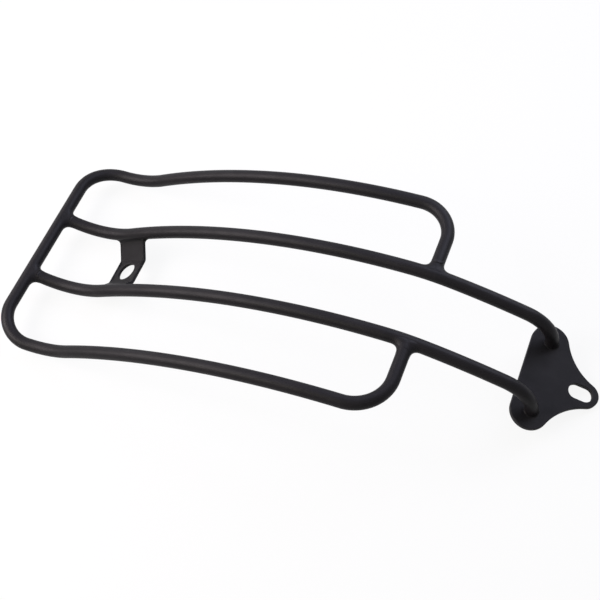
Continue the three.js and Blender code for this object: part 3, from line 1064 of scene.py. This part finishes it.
def weld_strap(hand, side):
    """Round an end of the strap, on its rail."""
    aim, face = leg_axes(side)
    spine = strap_width / 2 - strap_thickness / 2
    walk = np.linspace(-spine, spine, face_stations, endpoint=False)
    swing = np.linspace(0, math.pi, edge_stations, endpoint=False)
    end, ahead = np.full(edge_stations, spine), np.zeros(face_stations)
    offsets = np.concatenate([walk, end, -walk, -end])
    bearings = np.concatenate([ahead, swing, math.pi + ahead, math.pi + swing])
    out = np.cos(bearings)[:, None] * face + np.sin(bearings)[:, None] * strap_forwards
    core = (
        strap_origin
        + side * rail_offset * across_rack
        + offsets[:, None] * strap_forwards
        + strap_core * aim
    )
    blend = face_blend + edge_blend[side] * np.abs(np.sin(bearings)) ** edge_power
    ends = (strap_station - strap_width, strap_station + strap_width)
    rail = bar_field(rail_line(side, *ends, line_pitch))
    make_weld(
        f"strap_weld_{hand}",
        f"weld_strap_{hand}",
        Joint(core, out, aim, leg_field(side), rail, blend),
        toe=blend + strap_toe,
        proud=0.1 * mm,
        ripple=0.05 * mm,
        lead=short_lead,
        # painted shade in the hollow between the leg and its rail
        dusk=strap_dusk[side],
    )


for hand, side in hands:
    weld_rail_to_cross_bar(hand, side)
    weld_loop_end(hand, side)
    weld_foot(hand, side)
    weld_strap(hand, side)


# -------------------------------- floor, light and camera


def seen_plainly(nodes, links):
    """One for rays that show the backdrop as it is: from the camera, a gloss or a glass."""
    ray = nodes.new("ShaderNodeLightPath")
    total = ray.outputs["Is Camera Ray"]
    for name in ("Is Glossy Ray", "Is Transmission Ray"):
        node = nodes.new("ShaderNodeMath")
        node.operation = "MAXIMUM"
        links.new(total, node.inputs[0])
        links.new(ray.outputs[name], node.inputs[1])
        total = node.outputs["Value"]
    return total


floor_size = 16.0  # on a side
floor_white = (0.8, 0.8, 0.8, 1)
floor_glow = 0.9  # how much of its look is plain white; the rest takes the shadow


def make_floor():
    """A white floor that keeps the rack's shadow and isn't there from below."""
    half = floor_size / 2
    mesh = bpy.data.meshes.new("floor")
    corners = [(-half, -half, 0), (half, -half, 0), (half, half, 0), (-half, half, 0)]
    mesh.from_pydata(corners, [], [(0, 1, 2, 3)])
    floor = bpy.data.objects.new("floor", mesh)
    bpy.context.scene.collection.objects.link(floor)
    material = bpy.data.materials.new("white_floor")
    material.use_nodes = True
    nodes, links = material.node_tree.nodes, material.node_tree.links
    nodes.clear()
    result = nodes.new("ShaderNodeOutputMaterial")
    matte = nodes.new("ShaderNodeBsdfDiffuse")
    matte.inputs["Color"].default_value = floor_white
    glow = nodes.new("ShaderNodeEmission")
    top = nodes.new("ShaderNodeMixShader")
    share = nodes.new("ShaderNodeMath")
    share.operation = "MULTIPLY"
    share.inputs[1].default_value = floor_glow
    links.new(seen_plainly(nodes, links), share.inputs[0])
    links.new(share.outputs["Value"], top.inputs["Fac"])
    links.new(matte.outputs["BSDF"], top.inputs[1])
    links.new(glow.outputs["Emission"], top.inputs[2])
    under = nodes.new("ShaderNodeBsdfTransparent")
    face = nodes.new("ShaderNodeNewGeometry")
    whole = nodes.new("ShaderNodeMixShader")
    links.new(face.outputs["Backfacing"], whole.inputs["Fac"])
    links.new(top.outputs["Shader"], whole.inputs[1])
    links.new(under.outputs["BSDF"], whole.inputs[2])
    links.new(whole.outputs["Shader"], result.inputs["Surface"])
    mesh.materials.append(material)


def softbox(name, aim, bearing, height, reach, size, power, colour):
    """A square lamp that its aim sees at a bearing and a height, in degrees."""
    data = bpy.data.lights.new(name, "AREA")
    data.shape = "SQUARE"
    data.size = size
    data.energy = power
    data.color = colour
    turn, lift = math.radians(bearing), math.radians(height)
    level = reach * math.cos(lift)
    away = (level * math.cos(turn), level * math.sin(turn), reach * math.sin(lift))
    place = tuple(a + b for a, b in zip(aim, away))
    lamp = bpy.data.objects.new(name, data)
    lamp.location = place
    lamp.rotation_euler = (Vector(aim) - Vector(place)).to_track_quat("-Z", "Y").to_euler()
    bpy.context.scene.collection.objects.link(lamp)


def make_world(strength):
    """A faint fill all round for the rack, and plain white to look at."""
    world = bpy.data.worlds.new("studio")
    bpy.context.scene.world = world
    world.use_nodes = True
    nodes, links = world.node_tree.nodes, world.node_tree.links
    nodes.clear()
    result = nodes.new("ShaderNodeOutputWorld")
    fill, white = nodes.new("ShaderNodeBackground"), nodes.new("ShaderNodeBackground")
    for glow in (fill, white):
        glow.inputs["Color"].default_value = (1, 1, 1, 1)
    fill.inputs["Strength"].default_value = strength
    blend = nodes.new("ShaderNodeMixShader")
    links.new(seen_plainly(nodes, links), blend.inputs["Fac"])
    links.new(fill.outputs["Background"], blend.inputs[1])
    links.new(white.outputs["Background"], blend.inputs[2])
    links.new(blend.outputs["Shader"], result.inputs["Surface"])


make_floor()
make_world(strength=0.02)

rack_middle = (0.0, 0.0, 0.03)
left_end = (-0.12, 0.0, 0.03)
softboxes = [  # name, aim, bearing, height, distance, size, watts, colour
    ("front_softbox", rack_middle, 207, 35, 1.15, 0.7, 13.2, (1.0, 0.905, 0.92)),
    ("back_softbox", rack_middle, 60, 38, 1.3, 0.9, 10.5, (0.794, 0.803, 1.0)),
    ("left_softbox", rack_middle, 180, 45, 1.15, 0.55, 3.7, (1.0, 0.91, 0.88)),
    ("side_softbox", rack_middle, 240, 40, 1.15, 0.6, 1.75, (1.0, 1.0, 0.5)),
    ("corner_softbox", rack_middle, 150, 30, 1.15, 0.6, 1.65, (0.96, 0.9, 1.0)),
    ("near_softbox", left_end, 60, 50, 0.5, 0.35, 0.56, (0.6, 0.7, 1.0)),
    ("overhead_softbox", left_end, 180, 80, 0.5, 0.35, 0.4, (0.65, 0.67, 1.0)),
]
for box in softboxes:
    softbox(*box)

camera_place = Vector((0.22219, -0.35103, 0.64627))
camera_right = Vector((0.931095, 0.349775, -0.103532))  # in the rack's place, as is up
camera_up = Vector((-0.250702, 0.819774, 0.514896))
camera_data = bpy.data.cameras.new("camera")
camera_data.sensor_width = 36
camera_data.lens = 62.752
camera_data.shift_x = -0.04388
camera_data.shift_y = 0.06366
camera = bpy.data.objects.new("camera", camera_data)
turned = Matrix((camera_right, camera_up, camera_right.cross(camera_up))).transposed()
camera.matrix_world = Matrix.Translation(camera_place) @ turned.to_4x4()
bpy.context.scene.collection.objects.link(camera)
bpy.context.scene.camera = camera
bpy.context.scene.view_settings.view_transform = "Standard"
